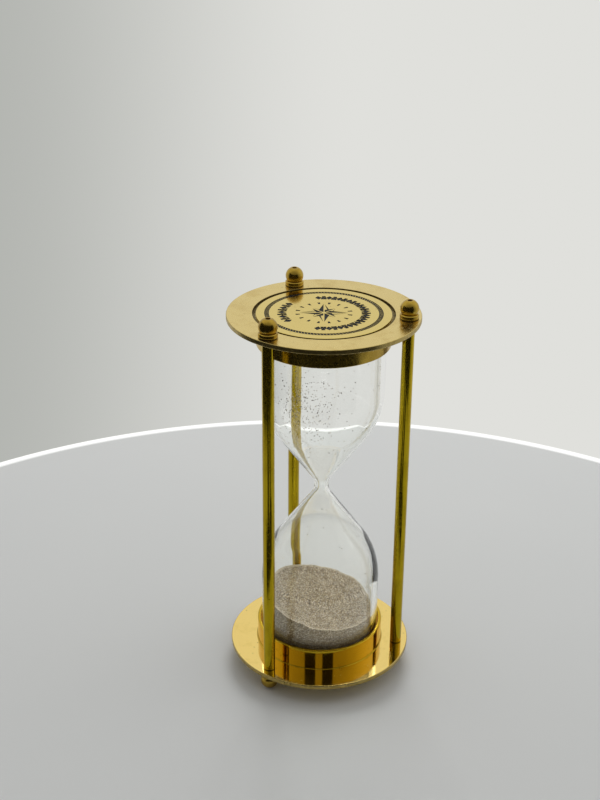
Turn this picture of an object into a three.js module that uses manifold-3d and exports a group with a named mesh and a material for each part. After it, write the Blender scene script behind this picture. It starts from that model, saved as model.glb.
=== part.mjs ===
// Three-pillar brass hourglass, standing upright. Millimetres, +Z up.
// The origin lies on the surface that it stands on, midway between the three foot nuts.
// One pillar stands at the back, towards +Y, and two stand at the front.

import * as THREE from 'three';
import { mergeVertices } from 'three/addons/utils/BufferGeometryUtils.js';
import Module from 'manifold-3d';

const wasm = await Module();
wasm.setup();

// ---- Driving dimensions ----

// The two round end plates. Each has a recess in its outer face for an engraved disc.
const PLATE_THICKNESS = 1.6;
const PLATE_CHAMFER = 0.25;
const RECESS_DEPTH = 0.8;
const RECESS_TO_NUT = 1.35;

const MEDALLION_THICKNESS = 0.7;
const MEDALLION_CHAMFER = 0.12;
const MEDALLION_SIDE_GAP = 1.1;

// Three pillars hold the plates apart. A threaded stud stands out of each end.
const PILLAR_COUNT = 3;
const BACK_PILLAR_ANGLE = Math.PI / 2;
const PILLAR_LENGTH = 123.75;
const PILLAR_RADIUS = 2;
const PILLAR_CHAMFER = 0.15;
const PILLAR_TO_COLLAR = 3.5;
const PILLAR_TO_PLATE_EDGE = 2.1;
const STUD_SHOULDER = 0.5;
const STUD_GRIP = 2.8;
const STUD_CHAMFER = 0.3;
const STUD_CLEARANCE = 0.1;

// A ball nut closes each stud: a short round base, a waist and a ball with a drilled tip.
const NUT_BASE_RADIUS = 3.15;
const NUT_BASE_HEIGHT = 1.6;
const NUT_BASE_CHAMFER = 0.3;
const NUT_WAIST_RADIUS = 2.5;
const NUT_BALL_RADIUS = 3.07;
const NUT_TIP_RADIUS = 1.25;
const NUT_TIP_HOLE_RADIUS = 0.8;
const NUT_TIP_HOLE_DEPTH = 1.2;
const NUT_BORE_END_GAP = 0.3;

// One blown vessel: two bulbs joined by a short neck, and a fill hole in its top end.
// The glass has run down a little as it was blown, so the lower bulb has the thicker wall.
const GLASS_RADIUS = 20.8;
const UPPER_WALL = 1.6;
const LOWER_WALL = 1.9;
const GLASS_CORNER = 5;
const NECK_RADIUS = 2.5;
const NECK_HALF_LENGTH = 0.6;
const NECK_FILLET = 4;
const BORE_RADIUS = 1.3;
const BORE_RISE = 0.1;
const BORE_DROP = 0.1;
const BORE_FILLET = 5;
const SHOULDER_ARC = 28;
const CONE_HALF_ANGLE = THREE.MathUtils.degToRad(35.5);
const FILL_HOLE_RADIUS = 3.2;
const STOPPER_LENGTH = 3.6;
const STOPPER_SIDE_GAP = 0.3;
const STOPPER_CHAMFER = 0.4;

// A ring on the inner face of each plate holds one end of the vessel, on a cork pad.
const COLLAR_WALL = 1.2;
const COLLAR_CHAMFER = 0.25;
const COLLAR_CLEARANCE = 0.4;
const TOP_COLLAR_HEIGHT = 8.7;
const BOTTOM_COLLAR_HEIGHT = 7.6;
const PAD_THICKNESS = 1.5;
const PAD_SIDE_GAP = 0.5;
const PAD_CHAMFER = 0.3;

// The sand has all run down. Its top slopes a little, and is highest at the left and back.
const SAND_DEPTH = 11.6;
const SAND_SLOPE = THREE.MathUtils.degToRad(12);
const SAND_HIGH_SIDE_ANGLE = THREE.MathUtils.degToRad(145);
const SAND_GAP = 0.3;

// Facets around each round piece, and along each arc of an outline.
const WIDE_FACETS = 48;
const GLASS_FACETS = 40;
const NARROW_FACETS = 16;
const CORNER_STEPS = 3;
const SHOULDER_STEPS = 4;
const BALL_STEPS = 5;

// Vertices nearer than this are one vertex.
const WELD_DISTANCE = 1e-4;

// ---- Sizes that follow from them ----

const COLLAR_INNER_RADIUS = GLASS_RADIUS + COLLAR_CLEARANCE;
const COLLAR_OUTER_RADIUS = COLLAR_INNER_RADIUS + COLLAR_WALL;

const PILLAR_CIRCLE = COLLAR_OUTER_RADIUS + PILLAR_TO_COLLAR + PILLAR_RADIUS;
const STUD_RADIUS = PILLAR_RADIUS - STUD_SHOULDER;
const STUD_LENGTH = PLATE_THICKNESS + STUD_GRIP;
const STUD_HOLE_RADIUS = STUD_RADIUS + STUD_CLEARANCE;

const PLATE_RADIUS = PILLAR_CIRCLE + PILLAR_RADIUS + PILLAR_TO_PLATE_EDGE;
const RECESS_RADIUS = PILLAR_CIRCLE - NUT_BASE_RADIUS - RECESS_TO_NUT;
const MEDALLION_RADIUS = RECESS_RADIUS - MEDALLION_SIDE_GAP;

const NUT_WAIST_ANGLE = Math.acos(NUT_WAIST_RADIUS / NUT_BALL_RADIUS);
const NUT_TIP_ANGLE = Math.acos(NUT_TIP_RADIUS / NUT_BALL_RADIUS);
const NUT_BALL_LIFT = NUT_BASE_HEIGHT + NUT_BALL_RADIUS * Math.sin(NUT_WAIST_ANGLE);
const NUT_HEIGHT = NUT_BALL_LIFT + NUT_BALL_RADIUS * Math.sin(NUT_TIP_ANGLE);

const BOTTOM_PLATE_Z = NUT_HEIGHT;
const PILLAR_Z = BOTTOM_PLATE_Z + PLATE_THICKNESS;
const TOP_PLATE_Z = PILLAR_Z + PILLAR_LENGTH;
const TOP_NUT_Z = TOP_PLATE_Z + PLATE_THICKNESS;
const MIDDLE_Z = PILLAR_Z + PILLAR_LENGTH / 2;

const GLASS_LENGTH = PILLAR_LENGTH - 2 * PAD_THICKNESS;
const GLASS_FLOOR = GLASS_LENGTH / 2 - LOWER_WALL;
const PAD_RADIUS = COLLAR_INNER_RADIUS - PAD_SIDE_GAP;
const STOPPER_RADIUS = FILL_HOLE_RADIUS - STOPPER_SIDE_GAP;

// ---- Materials ----

const material = (color, roughness, metalness) =>
  new THREE.MeshStandardMaterial({ color, roughness, metalness });

const SATIN_BRASS = material('#c9b16a', 0.4, 1);
const BRIGHT_BRASS = material('#dcc878', 0.25, 1);
const POLISHED_BRASS = material('#cf9a1e', 0.12, 1);
const PILLAR_BRASS = material('#8f7a1c', 0.3, 1);
const NUT_BRASS = material('#b08d3c', 0.3, 1);
const CORK = material('#a9835a', 0.9, 0);
const SAND = material('#b3a596', 0.95, 0);
const GLASS = new THREE.MeshStandardMaterial({
  color: '#eef2f0', roughness: 0.03, metalness: 0, transparent: true, opacity: 0.35,
});

// ---- Outlines and solids ----

const point = (radius, height) => new THREE.Vector2(radius, height);

// Points along an arc of an outline, in equal steps, both ends included.
function arc(centreRadius, centreHeight, radius, startAngle, endAngle, steps) {
  const points = [];
  for (let step = 0; step <= steps; step += 1) {
    const angle = THREE.MathUtils.lerp(startAngle, endAngle, step / steps);
    points.push(point(centreRadius + radius * Math.cos(angle), centreHeight + radius * Math.sin(angle)));
  }
  return points;
}

// A full turn of an outline makes zero-width faces where it meets the axis: these go.
function dropZeroWidthFaces(geometry) {
  const corners = geometry.index.array;
  const kept = [];
  for (let start = 0; start < corners.length; start += 3) {
    const [a, b, c] = corners.slice(start, start + 3);
    if (a !== b && b !== c && c !== a) {
      kept.push(a, b, c);
    }
  }
  geometry.setIndex(kept);
  return geometry;
}

// Turns an outline of (radius, height) points once round the Z axis.
// The outline runs up its outer side, so the faces point out.
function turn(outline, facets) {
  const turned = new THREE.LatheGeometry(outline, facets).rotateX(Math.PI / 2);
  turned.deleteAttribute('normal');
  turned.deleteAttribute('uv');
  return dropZeroWidthFaces(mergeVertices(turned, WELD_DISTANCE));
}

function toSolid(geometry) {
  return new wasm.Manifold(new wasm.Mesh({
    numProp: 3,
    vertProperties: Float32Array.from(geometry.attributes.position.array),
    triVerts: Uint32Array.from(geometry.index.array),
  }));
}

function toGeometry(solid) {
  const { vertProperties, triVerts } = solid.getMesh();
  const geometry = new THREE.BufferGeometry();
  geometry.setAttribute('position', new THREE.BufferAttribute(vertProperties, 3));
  geometry.setIndex(new THREE.BufferAttribute(triVerts, 1));
  return geometry;
}

// Outline of a disc that stands on height 0, with a chamfer on both edges.
function discOutline(radius, thickness, chamfer) {
  return [
    point(0, 0),
    point(radius - chamfer, 0),
    point(radius, chamfer),
    point(radius, thickness - chamfer),
    point(radius - chamfer, thickness),
    point(0, thickness),
  ];
}

// ---- Pieces, each with its own height 0 ----

const pillarAngle = (index) => BACK_PILLAR_ANGLE + (index * 2 * Math.PI) / PILLAR_COUNT;

// An end plate, with its recess up.
function plateGeometry() {
  const outline = [
    point(0, 0),
    point(PLATE_RADIUS - PLATE_CHAMFER, 0),
    point(PLATE_RADIUS, PLATE_CHAMFER),
    point(PLATE_RADIUS, PLATE_THICKNESS - PLATE_CHAMFER),
    point(PLATE_RADIUS - PLATE_CHAMFER, PLATE_THICKNESS),
    point(RECESS_RADIUS, PLATE_THICKNESS),
    point(RECESS_RADIUS, PLATE_THICKNESS - RECESS_DEPTH),
    point(0, PLATE_THICKNESS - RECESS_DEPTH),
  ];
  let plate = toSolid(turn(outline, WIDE_FACETS));
  const drillOutline = [
    point(0, -PLATE_THICKNESS),
    point(STUD_HOLE_RADIUS, -PLATE_THICKNESS),
    point(STUD_HOLE_RADIUS, 2 * PLATE_THICKNESS),
    point(0, 2 * PLATE_THICKNESS),
  ];
  const drill = turn(drillOutline, NARROW_FACETS);
  for (let index = 0; index < PILLAR_COUNT; index += 1) {
    const angle = pillarAngle(index);
    const x = PILLAR_CIRCLE * Math.cos(angle);
    const y = PILLAR_CIRCLE * Math.sin(angle);
    plate = plate.subtract(toSolid(drill.clone().rotateZ(angle).translate(x, y, 0)));
  }
  return toGeometry(plate);
}

function collarGeometry(height) {
  const outline = [
    point(COLLAR_INNER_RADIUS, 0),
    point(COLLAR_OUTER_RADIUS, 0),
    point(COLLAR_OUTER_RADIUS, height - COLLAR_CHAMFER),
    point(COLLAR_OUTER_RADIUS - COLLAR_CHAMFER, height),
    point(COLLAR_INNER_RADIUS + COLLAR_CHAMFER, height),
    point(COLLAR_INNER_RADIUS, height - COLLAR_CHAMFER),
    point(COLLAR_INNER_RADIUS, 0),
  ];
  return turn(outline, WIDE_FACETS);
}

// A pillar: its shoulders are at height 0 and PILLAR_LENGTH, and a stud stands out of each.
function pillarGeometry() {
  const studTip = PILLAR_LENGTH + STUD_LENGTH;
  const lowerHalf = [
    point(0, -STUD_LENGTH),
    point(STUD_RADIUS - STUD_CHAMFER, -STUD_LENGTH),
    point(STUD_RADIUS, STUD_CHAMFER - STUD_LENGTH),
    point(STUD_RADIUS, 0),
    point(PILLAR_RADIUS - PILLAR_CHAMFER, 0),
    point(PILLAR_RADIUS, PILLAR_CHAMFER),
  ];
  const upperHalf = lowerHalf.map(({ x, y }) => point(x, studTip - STUD_LENGTH - y)).reverse();
  return turn([...lowerHalf, ...upperHalf], NARROW_FACETS);
}

// A ball nut: it seats at height 0, and its drilled tip is at NUT_HEIGHT.
function nutGeometry() {
  const boreDepth = STUD_GRIP + NUT_BORE_END_GAP;
  const outline = [
    point(0, boreDepth),
    point(STUD_HOLE_RADIUS, boreDepth),
    point(STUD_HOLE_RADIUS, 0),
    point(NUT_BASE_RADIUS, 0),
    point(NUT_BASE_RADIUS, NUT_BASE_HEIGHT - NUT_BASE_CHAMFER),
    point(NUT_BASE_RADIUS - NUT_BASE_CHAMFER, NUT_BASE_HEIGHT),
    ...arc(0, NUT_BALL_LIFT, NUT_BALL_RADIUS, -NUT_WAIST_ANGLE, NUT_TIP_ANGLE, BALL_STEPS),
    point(NUT_TIP_HOLE_RADIUS, NUT_HEIGHT),
    point(NUT_TIP_HOLE_RADIUS, NUT_HEIGHT - NUT_TIP_HOLE_DEPTH),
    point(0, NUT_HEIGHT - NUT_TIP_HOLE_DEPTH),
  ];
  return turn(outline, NARROW_FACETS);
}

// The side of one bulb, from the straight neck out to the flat end: a fillet, a cone and the arc
// of the shoulder, each tangent to the next, then the straight wall and the rounded corner.
// Heights are measured from the middle of the neck.
function bulbSide({ neckRadius, neckReach, fillet, shoulder, wallRadius, corner, end }) {
  const coneRun = wallRadius - neckRadius - (fillet + shoulder) * (1 - Math.cos(CONE_HALF_ANGLE));
  const arcRise = (fillet + shoulder) * Math.sin(CONE_HALF_ANGLE);
  const shoulderHeight = neckReach + arcRise + coneRun / Math.tan(CONE_HALF_ANGLE);
  return [
    ...arc(neckRadius + fillet, neckReach, fillet, Math.PI, Math.PI - CONE_HALF_ANGLE, CORNER_STEPS),
    ...arc(wallRadius - shoulder, shoulderHeight, shoulder, -CONE_HALF_ANGLE, 0, SHOULDER_STEPS),
    ...arc(wallRadius - corner, end - corner, corner, 0, Math.PI / 2, CORNER_STEPS),
  ];
}

// The inner side of one bulb, a wall's thickness inside the glass and then a gap.
function innerBulbSide(wall, neckReach, gap) {
  return bulbSide({
    neckRadius: BORE_RADIUS - gap,
    neckReach,
    fillet: BORE_FILLET + gap,
    shoulder: SHOULDER_ARC - wall - gap,
    wallRadius: GLASS_RADIUS - wall - gap,
    corner: GLASS_CORNER - wall - gap,
    end: GLASS_LENGTH / 2 - wall,
  });
}

const mirrored = (side) => side.map(({ x, y }) => point(x, -y)).reverse();

// The vessel, with height 0 at the middle of its neck.
function vesselGeometry() {
  const end = GLASS_LENGTH / 2;
  const outerSide = bulbSide({
    neckRadius: NECK_RADIUS,
    neckReach: NECK_HALF_LENGTH,
    fillet: NECK_FILLET,
    shoulder: SHOULDER_ARC,
    wallRadius: GLASS_RADIUS,
    corner: GLASS_CORNER,
    end,
  });
  const inner = [
    ...mirrored(innerBulbSide(LOWER_WALL, BORE_DROP, 0)),
    ...innerBulbSide(UPPER_WALL, BORE_RISE, 0),
  ];
  const outline = [
    point(0, -end),
    ...mirrored(outerSide),
    ...outerSide,
    point(FILL_HOLE_RADIUS, end),
    point(FILL_HOLE_RADIUS, end - UPPER_WALL),
    ...inner.reverse(),
    point(0, -GLASS_FLOOR),
  ];
  return turn(outline, GLASS_FACETS);
}

// The sand, with height 0 at the middle of the neck as the vessel has. It fills the lower bulb
// with a small gap to the glass, and everything above its sloping top is cut away.
function sandGeometry() {
  const side = mirrored(innerBulbSide(LOWER_WALL, BORE_DROP, SAND_GAP));
  const bulb = turn([point(0, -GLASS_FLOOR), ...side, point(0, -BORE_DROP)], GLASS_FACETS);
  const cutterSide = GLASS_LENGTH + 2 * GLASS_RADIUS;
  const cutter = new THREE.BoxGeometry(cutterSide, cutterSide, cutterSide);
  cutter.deleteAttribute('normal');
  cutter.deleteAttribute('uv');
  cutter
    .translate(0, 0, cutterSide / 2)
    .rotateY(-SAND_SLOPE)
    .rotateZ(SAND_HIGH_SIDE_ANGLE)
    .translate(0, 0, SAND_DEPTH - GLASS_FLOOR);
  const aboveTheSand = toSolid(mergeVertices(cutter, WELD_DISTANCE));
  return toGeometry(toSolid(bulb).subtract(aboveTheSand));
}

// ---- Assembly ----

const hourglass = new THREE.Group();

function place(parent, name, geometry, finish, height) {
  const mesh = new THREE.Mesh(geometry, finish);
  mesh.name = name;
  mesh.position.z = height;
  parent.add(mesh);
  return mesh;
}

// Turns a piece over from left to right, so that its height 0 stays put, the rest of it hangs
// below, and the back pillar's hole stays at the back.
function turnOver(mesh) {
  mesh.rotation.y = Math.PI;
}

place(hourglass, 'top_plate', plateGeometry(), SATIN_BRASS, TOP_PLATE_Z);
turnOver(place(hourglass, 'bottom_plate', plateGeometry(), POLISHED_BRASS, PILLAR_Z));

const medallion = turn(discOutline(MEDALLION_RADIUS, MEDALLION_THICKNESS, MEDALLION_CHAMFER), WIDE_FACETS);
place(hourglass, 'top_medallion', medallion, BRIGHT_BRASS, TOP_NUT_Z - RECESS_DEPTH);
turnOver(place(hourglass, 'bottom_medallion', medallion, BRIGHT_BRASS, BOTTOM_PLATE_Z + RECESS_DEPTH));

turnOver(place(hourglass, 'top_collar', collarGeometry(TOP_COLLAR_HEIGHT), SATIN_BRASS, TOP_PLATE_Z));
place(hourglass, 'bottom_collar', collarGeometry(BOTTOM_COLLAR_HEIGHT), POLISHED_BRASS, PILLAR_Z);

const pad = turn(discOutline(PAD_RADIUS, PAD_THICKNESS, PAD_CHAMFER), WIDE_FACETS);
place(hourglass, 'top_pad', pad, CORK, TOP_PLATE_Z - PAD_THICKNESS);
place(hourglass, 'bottom_pad', pad, CORK, PILLAR_Z);

place(hourglass, 'glass_vessel', vesselGeometry(), GLASS, MIDDLE_Z);
const stopper = turn(discOutline(STOPPER_RADIUS, STOPPER_LENGTH, STOPPER_CHAMFER), NARROW_FACETS);
place(hourglass, 'fill_stopper', stopper, CORK, MIDDLE_Z + GLASS_LENGTH / 2 - STOPPER_LENGTH);
place(hourglass, 'sand', sandGeometry(), SAND, MIDDLE_Z);

// The pillars come in the order back, left and right, going round from +Y towards -X.
['back', 'left', 'right'].forEach((side, index) => {
  const station = new THREE.Group();
  station.rotation.z = pillarAngle(index);
  hourglass.add(station);
  const pillar = place(station, `pillar_${side}`, pillarGeometry(), PILLAR_BRASS, PILLAR_Z);
  const topNut = place(station, `top_nut_${side}`, nutGeometry(), NUT_BRASS, TOP_NUT_Z);
  const footNut = place(station, `foot_nut_${side}`, nutGeometry(), NUT_BRASS, BOTTOM_PLATE_Z);
  turnOver(footNut);
  for (const piece of [pillar, topNut, footNut]) {
    piece.position.x = PILLAR_CIRCLE;
  }
});

export default hourglass;
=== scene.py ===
"""The looks of a small brass and glass hourglass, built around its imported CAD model.

Three turned pillars hold two brass end plates apart, and ball nuts on their studs clamp the
plates. A blown glass with sand in it stands between two pads, held by a collar on each plate.
Every size is in millimetres, and every mesh is made in metres in the frame of the CAD model.
"""

from __future__ import annotations

import logging
import math
import random
from collections.abc import Sequence
from dataclasses import dataclass, field
from enum import Enum

import bpy
from mathutils import Matrix, Vector, noise


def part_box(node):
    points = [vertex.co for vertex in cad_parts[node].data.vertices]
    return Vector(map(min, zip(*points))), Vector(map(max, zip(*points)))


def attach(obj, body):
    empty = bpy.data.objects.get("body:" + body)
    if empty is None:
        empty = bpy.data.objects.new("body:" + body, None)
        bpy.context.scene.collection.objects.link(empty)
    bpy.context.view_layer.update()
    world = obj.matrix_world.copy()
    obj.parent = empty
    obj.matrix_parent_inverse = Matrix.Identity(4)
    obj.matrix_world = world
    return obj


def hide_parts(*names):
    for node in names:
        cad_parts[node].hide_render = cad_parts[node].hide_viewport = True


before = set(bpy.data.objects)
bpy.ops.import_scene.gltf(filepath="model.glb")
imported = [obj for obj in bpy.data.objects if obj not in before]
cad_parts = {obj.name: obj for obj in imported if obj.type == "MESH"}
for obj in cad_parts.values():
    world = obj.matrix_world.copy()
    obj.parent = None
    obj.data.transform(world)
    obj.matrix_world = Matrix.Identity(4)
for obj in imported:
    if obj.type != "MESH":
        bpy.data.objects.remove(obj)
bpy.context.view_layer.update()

MM = 0.001
UP = Vector((0, 0, 1))
SMOOTH = math.radians(30)  # The widest angle between faces that still shades smooth.
LOG = logging.getLogger("hourglass")

Colour = tuple[float, float, float]
Point = tuple[float, float]


# ---- Modelling ----


def middle(node: str, end: str = "low") -> Vector:
    """Finds the middle of a CAD node's lowest or highest level.

    Args:
        node: The node's name.
        end: "low" or "high".

    Returns:
        The point, in metres.
    """
    low, high = (Vector(corner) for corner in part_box(node))
    centre = (low + high) / 2
    return Vector((centre.x, centre.y, low.z if end == "low" else high.z))


def deselect() -> None:
    """Leaves nothing selected."""
    bpy.ops.object.select_all(action="DESELECT")


def pick(*pieces: bpy.types.Object) -> None:
    """Selects these pieces alone and makes the first one active.

    Args:
        pieces: The pieces to select.
    """
    deselect()
    for piece in pieces:
        piece.select_set(True)
    bpy.context.view_layer.objects.active = pieces[0]


def begin(name: str) -> bpy.types.Object:
    """Adds a mesh of one selected point at the origin and stays in edit mode.

    Args:
        name: The name of the new piece.

    Returns:
        The new piece.
    """
    deselect()
    bpy.ops.mesh.primitive_plane_add(size=MM, location=(0, 0, 0))
    piece = bpy.context.object
    piece.name = piece.data.name = name
    bpy.ops.object.mode_set(mode="EDIT")
    bpy.ops.mesh.select_all(action="SELECT")
    bpy.ops.mesh.merge(type="CENTER")
    return piece


def draw(points: Sequence[Vector]) -> None:
    """Moves the selected point to the first of the points and extrudes it through the others.

    Args:
        points: Where the drawn line goes, in metres.
    """
    bpy.ops.transform.translate(value=points[0])
    for here, there in zip(points, points[1:]):
        bpy.ops.mesh.extrude_vertices_move(TRANSFORM_OT_translate={"value": there - here})


def close_up() -> None:
    """Merges doubles, faces the shell outwards, leaves edit mode and smooths the rounds."""
    bpy.ops.mesh.select_all(action="SELECT")
    bpy.ops.mesh.remove_doubles(threshold=0.0005 * MM)
    bpy.ops.mesh.normals_make_consistent(inside=False)
    bpy.ops.object.mode_set(mode="OBJECT")
    bpy.ops.object.shade_smooth_by_angle(angle=SMOOTH)


def apply_modifier(piece: bpy.types.Object, kind: str, **settings: object) -> None:
    """Adds one modifier to a piece and applies it.

    Args:
        piece: The piece to change.
        kind: The modifier's type.
        settings: The modifier's settings.
    """
    pick(piece)
    modifier = piece.modifiers.new(kind.title(), kind)
    for key, value in settings.items():
        setattr(modifier, key, value)
    bpy.ops.object.modifier_apply(modifier=modifier.name)


def even_shading(piece: bpy.types.Object) -> None:
    """Keeps the flats of a piece flat beside its rounded and its cut edges."""
    pick(piece)
    bpy.ops.object.shade_smooth_by_angle(angle=SMOOTH)
    apply_modifier(piece, "WEIGHTED_NORMAL", keep_sharp=True, weight=100)


@dataclass
class Outline:
    """Half the section of a turned shape, as radii and heights in millimetres.

    Attributes:
        points: The radius and height of each point so far.
    """

    points: list[Point] = field(default_factory=list)

    def to(self, radius: float, height: float) -> Outline:
        """Carries the outline on to one more point and returns the outline."""
        self.points.append((radius, height))
        return self

    def arc(self, centre: Point, bend: float, start: float, end: float, steps: int) -> Outline:
        """Carries the outline on round an arc.

        Args:
            centre: The radius and height of the arc's centre.
            bend: The arc's own radius.
            start: Where the arc starts, in degrees from the outward direction.
            end: Where it ends.
            steps: How many straight pieces it has.

        Returns:
            The outline.
        """
        for step in range(steps + 1):
            angle = math.radians(start + (end - start) * step / steps)
            self.to(centre[0] + bend * math.cos(angle), centre[1] + bend * math.sin(angle))
        return self

    def turned(self, name: str, base: Vector, facing: float, steps: int) -> bpy.types.Object:
        """Turns the outline about an upright axis into a closed solid.

        Args:
            name: The name of the new piece.
            base: Where radius 0 and height 0 are, in metres.
            facing: 1 if heights count upwards, or -1 if they count downwards.
            steps: How many steps go all the way round.

        Returns:
            The new piece.
        """
        piece = begin(name)
        draw([base + Vector((r, 0, facing * h)) * MM for r, h in self.points])
        bpy.ops.mesh.select_all(action="SELECT")
        bpy.ops.mesh.spin(steps=steps, angle=math.tau, center=base, axis=UP)
        close_up()
        return piece


def prism(name: str, corners: Sequence[Point], low: float, high: float) -> bpy.types.Object:
    """Makes an upright prism on a flat outline.

    Args:
        name: The name of the new piece.
        corners: Its corners seen from above, in millimetres.
        low: The height of its floor, in metres.
        high: The height of its top, in metres.

    Returns:
        The new piece.
    """
    piece = begin(name)
    draw([Vector((x * MM, y * MM, low)) for x, y in corners])
    bpy.ops.mesh.select_all(action="SELECT")
    bpy.ops.mesh.edge_face_add()
    bpy.ops.mesh.extrude_region_move(TRANSFORM_OT_translate={"value": UP * (high - low)})
    close_up()
    return piece


def repeat(piece: bpy.types.Object, count: int, centre: Vector, span: float) -> None:
    """Repeats the whole of a piece's mesh round an upright axis, in the same object.

    Args:
        piece: The piece whose mesh is repeated.
        count: How many there are in the end.
        centre: A point on the axis, in metres.
        span: The angle from the first to the last, in degrees, anticlockwise from above,
            which is the spin operator's backwards.
    """
    pick(piece)
    bpy.ops.object.mode_set(mode="EDIT")
    bpy.ops.mesh.select_all(action="SELECT")
    bpy.ops.mesh.spin(
        steps=count - 1, angle=math.radians(-span), dupli=True, center=centre, axis=UP
    )
    bpy.ops.object.mode_set(mode="OBJECT")


def repeat_round(piece: bpy.types.Object, count: int, centre: Vector) -> None:
    """Repeats a piece's mesh evenly all the way round an upright axis, in the same object."""
    repeat(piece, count, centre, 360 * (count - 1) / count)


def turned_in_place(piece: bpy.types.Object, move: Matrix) -> bpy.types.Object:
    """Moves a piece's mesh, so that its object stays at the origin, and returns the piece."""
    piece.data.transform(move)
    return piece


def copied(piece: bpy.types.Object, name: str, move: Matrix) -> bpy.types.Object:
    """Copies a piece with its own mesh.

    Args:
        piece: The piece to copy.
        name: The copy's name.
        move: Where the copy's mesh goes.

    Returns:
        The copy.
    """
    other = piece.copy()
    other.data = piece.data.copy()
    other.name = other.data.name = name
    bpy.context.collection.objects.link(other)
    return turned_in_place(other, move)


def engrave(piece: bpy.types.Object, cutter: bpy.types.Object, filling: bpy.types.Material) -> None:
    """Cuts a shape out of a piece and gives the cut faces the filling's finish.

    Args:
        piece: The piece to cut.
        cutter: The shape that is cut away, which is used up.
        filling: The finish of the cut faces.
    """
    cutter.data.materials.clear()
    cutter.data.materials.append(filling)
    apply_modifier(
        piece,
        "BOOLEAN",
        object=cutter,
        operation="DIFFERENCE",
        solver="EXACT",
        material_mode="TRANSFER",
    )
    bpy.data.objects.remove(cutter)


def scattered(
    name: str, grain: bpy.types.Object, places: Sequence[Matrix], tones: Sequence[float]
) -> bpy.types.Object:
    """Copies one grain to many places in one mesh, each copy with its own tone.

    Args:
        name: The name of the new piece.
        grain: The grain that is copied, which is used up.
        places: Where each copy goes.
        tones: Each copy's tone from 0 to 1, kept in the mesh's "tone" attribute.

    Returns:
        The new piece.
    """
    corners = [v.co.copy() for v in grain.data.vertices]
    faces = [tuple(f.vertices) for f in grain.data.polygons]
    mesh = bpy.data.meshes.new(name)
    mesh.from_pydata(
        [place @ corner for place in places for corner in corners],
        [],
        [
            tuple(len(corners) * index + v for v in face)
            for index in range(len(places))
            for face in faces
        ],
    )
    tone = mesh.attributes.new("tone", "FLOAT", "POINT")
    tone.data.foreach_set("value", [t for t in tones for _ in corners])
    bpy.data.objects.remove(grain)
    piece = bpy.data.objects.new(name, mesh)
    bpy.context.collection.objects.link(piece)
    return piece


# ---- Finishes ----


class Value:
    """A number's socket that can stand in an expression; each operator adds one Math node.

    Attributes:
        sheet: The sheet of nodes that the socket belongs to.
        socket: The socket itself.
    """

    def __init__(self, sheet: NodeSheet, socket: bpy.types.NodeSocket) -> None:
        """Wraps a socket of a sheet's node."""
        self.sheet = sheet
        self.socket = socket

    def math(self, operation: str, *others: float | Value, first: float | None = None) -> Value:
        """Adds a Math node.

        Args:
            operation: The node's operation.
            others: What comes after this value.
            first: A number that comes before this value.

        Returns:
            The node's result.
        """
        order = [self, *others] if first is None else [first, self]
        node = self.sheet.node(
            "ShaderNodeMath", {"operation": operation}, dict(enumerate(order))
        )
        return Value(self.sheet, node.outputs[0])

    def __add__(self, other: float | Value) -> Value:
        """Adds."""
        return self.math("ADD", other)

    def __sub__(self, other: float | Value) -> Value:
        """Subtracts."""
        return self.math("SUBTRACT", other)

    def __rsub__(self, other: float) -> Value:
        """Subtracts this value from a number."""
        return self.math("SUBTRACT", first=other)

    def __mul__(self, other: float | Value) -> Value:
        """Multiplies."""
        return self.math("MULTIPLY", other)

    def __truediv__(self, other: float | Value) -> Value:
        """Divides."""
        return self.math("DIVIDE", other)

    def __pow__(self, other: float) -> Value:
        """Raises to a power."""
        return self.math("POWER", other)

    def __abs__(self) -> Value:
        """Drops the sign."""
        return self.math("ABSOLUTE")

    def larger(self, other: float | Value) -> Value:
        """Takes the larger of two values."""
        return self.math("MAXIMUM", other)

    def band(self, low: float, high: float, start: float = 0, end: float = 1) -> Value:
        """Maps low to start and high to end, with a soft beginning and end.

        Args:
            low: The value that becomes start.
            high: The value that becomes end.
            start: The result at and below low.
            end: The result at and above high.

        Returns:
            The mapped value.
        """
        node = self.sheet.node(
            "ShaderNodeMapRange",
            {"interpolation_type": "SMOOTHSTEP"},
            {"Value": self, "From Min": low, "From Max": high, "To Min": start, "To Max": end},
        )
        return Value(self.sheet, node.outputs[0])


Socket = bpy.types.NodeSocket
Feed = float | Sequence[float] | Value | Socket


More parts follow.
